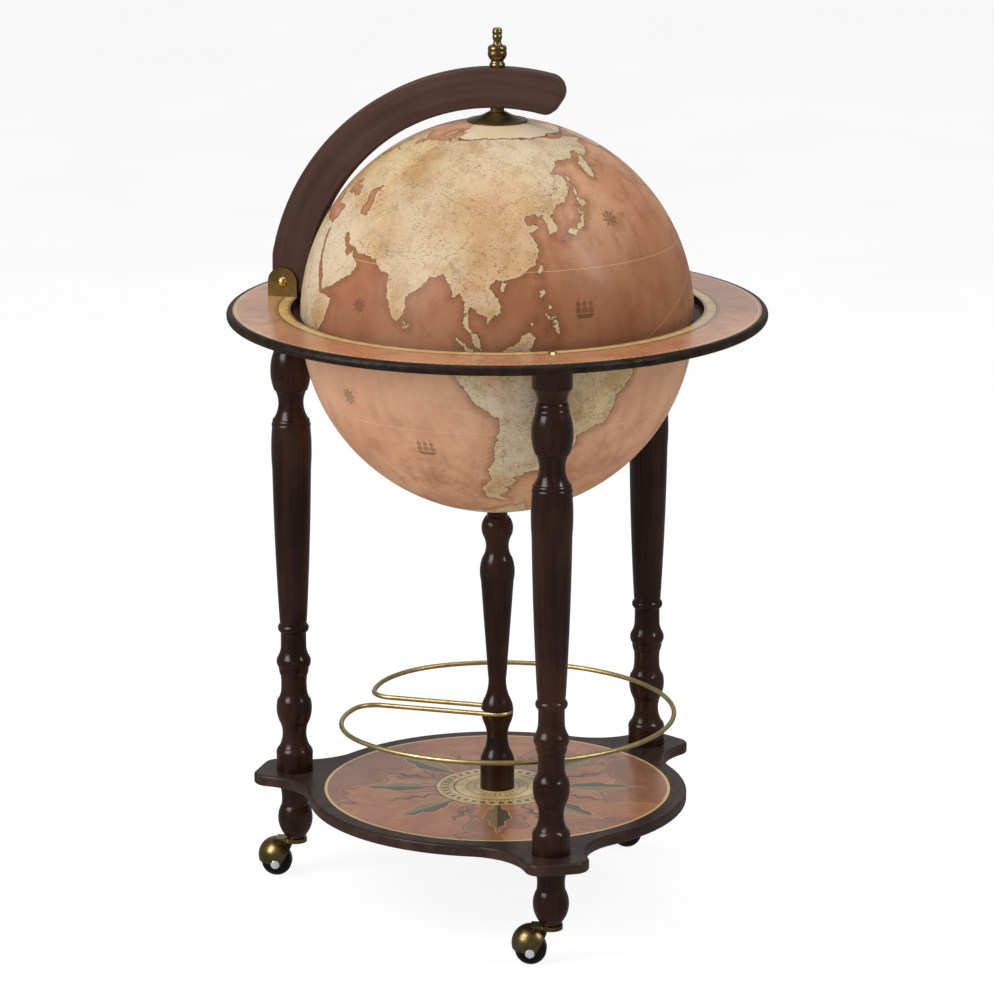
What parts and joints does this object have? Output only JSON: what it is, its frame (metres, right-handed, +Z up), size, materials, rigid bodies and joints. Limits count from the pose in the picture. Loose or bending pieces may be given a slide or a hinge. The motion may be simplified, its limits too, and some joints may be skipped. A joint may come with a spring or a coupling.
{
  "type": "floor globe bar",
  "caption": "Terrestrial globe drinks cabinet with a hinged upper half, a printed horizon ring, turned legs, a round shelf with a bottle rail, and swivel casters.",
  "frame": {"origin": "on the floor under the globe's vertical axis", "axes": "+Z up; +Y towards the hinge of the lid arm and the back leg; -Y towards the side the lid opens to"},
  "size_m": [0.5499, 0.55, 0.9132],
  "materials": {
    "dark_wood": "glossy dark red-brown stain",
    "printed_board": "lacquered printed paper on board",
    "printed_globe": "varnished printed map",
    "tray_board": "satin stain",
    "brass": "antique polished",
    "steel": "plain",
    "wheel_black": "semi-gloss"
  },
  "bodies": {
    "stand": {"shelf": "printed_board", "horizon_ring": "printed_board", "lower_globe": "printed_globe", "tray_top": "tray_board", "tray_floor": "tray_board", "centre_column": "dark_wood", "column_pad": "dark_wood", "leg_back": "dark_wood", "foot_back": "dark_wood", "leg_left": "dark_wood", "foot_left": "dark_wood", "leg_right": "dark_wood", "foot_right": "dark_wood", "stem_sockets": "brass", "bolt_caps": "brass", "bottle_rail": "brass", "hinge_bracket": "brass", "hinge_pin": "brass", "leg_studs": "steel", "leg_bolts": "steel", "flange_screws": "steel", "column_screws": "steel", "bracket_screws": "steel"},
    "arm": {"lid_arm": "dark_wood", "hinge_bush": "brass", "pole_rod": "steel", "pole_spacer": "brass", "rod_washer": "steel", "rod_nut": "steel", "finial": "brass"},
    "lid": {"upper_globe": "printed_globe", "pole_cap": "brass", "pole_bush": "brass"},
    "caster_back_swivel": {"caster_back_hood": "brass", "caster_back_stem": "steel", "caster_back_axle": "steel"},
    "caster_back_roller": {"caster_back_wheel": "wheel_black"},
    "caster_left_swivel": {"caster_left_hood": "brass", "caster_left_stem": "steel", "caster_left_axle": "steel"},
    "caster_left_roller": {"caster_left_wheel": "wheel_black"},
    "caster_right_swivel": {"caster_right_hood": "brass", "caster_right_stem": "steel", "caster_right_axle": "steel"},
    "caster_right_roller": {"caster_right_wheel": "wheel_black"}
  },
  "joints": [
    {"name": "lid_hinge", "type": "hinge", "parent": "stand", "child": "arm", "pos_m": [0, 0.226, 0.6426], "axis": [-1, 0, 0], "range_deg": [0, 85]},
    {"name": "lid_spin", "type": "hinge", "parent": "arm", "child": "lid", "pos_m": [0, 0, 0.82], "axis": [0, 0, 1], "continuous": true},
    {"name": "caster_back_turn", "type": "hinge", "parent": "stand", "child": "caster_back_swivel", "pos_m": [0, 0.222, 0.04], "axis": [0, 0, 1], "continuous": true},
    {"name": "caster_back_roll", "type": "hinge", "parent": "caster_back_swivel", "child": "caster_back_roller", "pos_m": [-0.00416, 0.24156, 0.016], "axis": [0.9781, 0.2079, 0], "continuous": true},
    {"name": "caster_left_turn", "type": "hinge", "parent": "stand", "child": "caster_left_swivel", "pos_m": [-0.19226, -0.111, 0.04], "axis": [0, 0, 1], "continuous": true},
    {"name": "caster_left_roll", "type": "hinge", "parent": "caster_left_swivel", "child": "caster_left_roller", "pos_m": [-0.19642, -0.09144, 0.016], "axis": [0.9781, 0.2079, 0], "continuous": true},
    {"name": "caster_right_turn", "type": "hinge", "parent": "stand", "child": "caster_right_swivel", "pos_m": [0.19226, -0.111, 0.04], "axis": [0, 0, 1], "continuous": true},
    {"name": "caster_right_roll", "type": "hinge", "parent": "caster_right_swivel", "child": "caster_right_roller", "pos_m": [0.1881, -0.09144, 0.016], "axis": [0.9781, 0.2079, 0], "continuous": true}
  ]
}
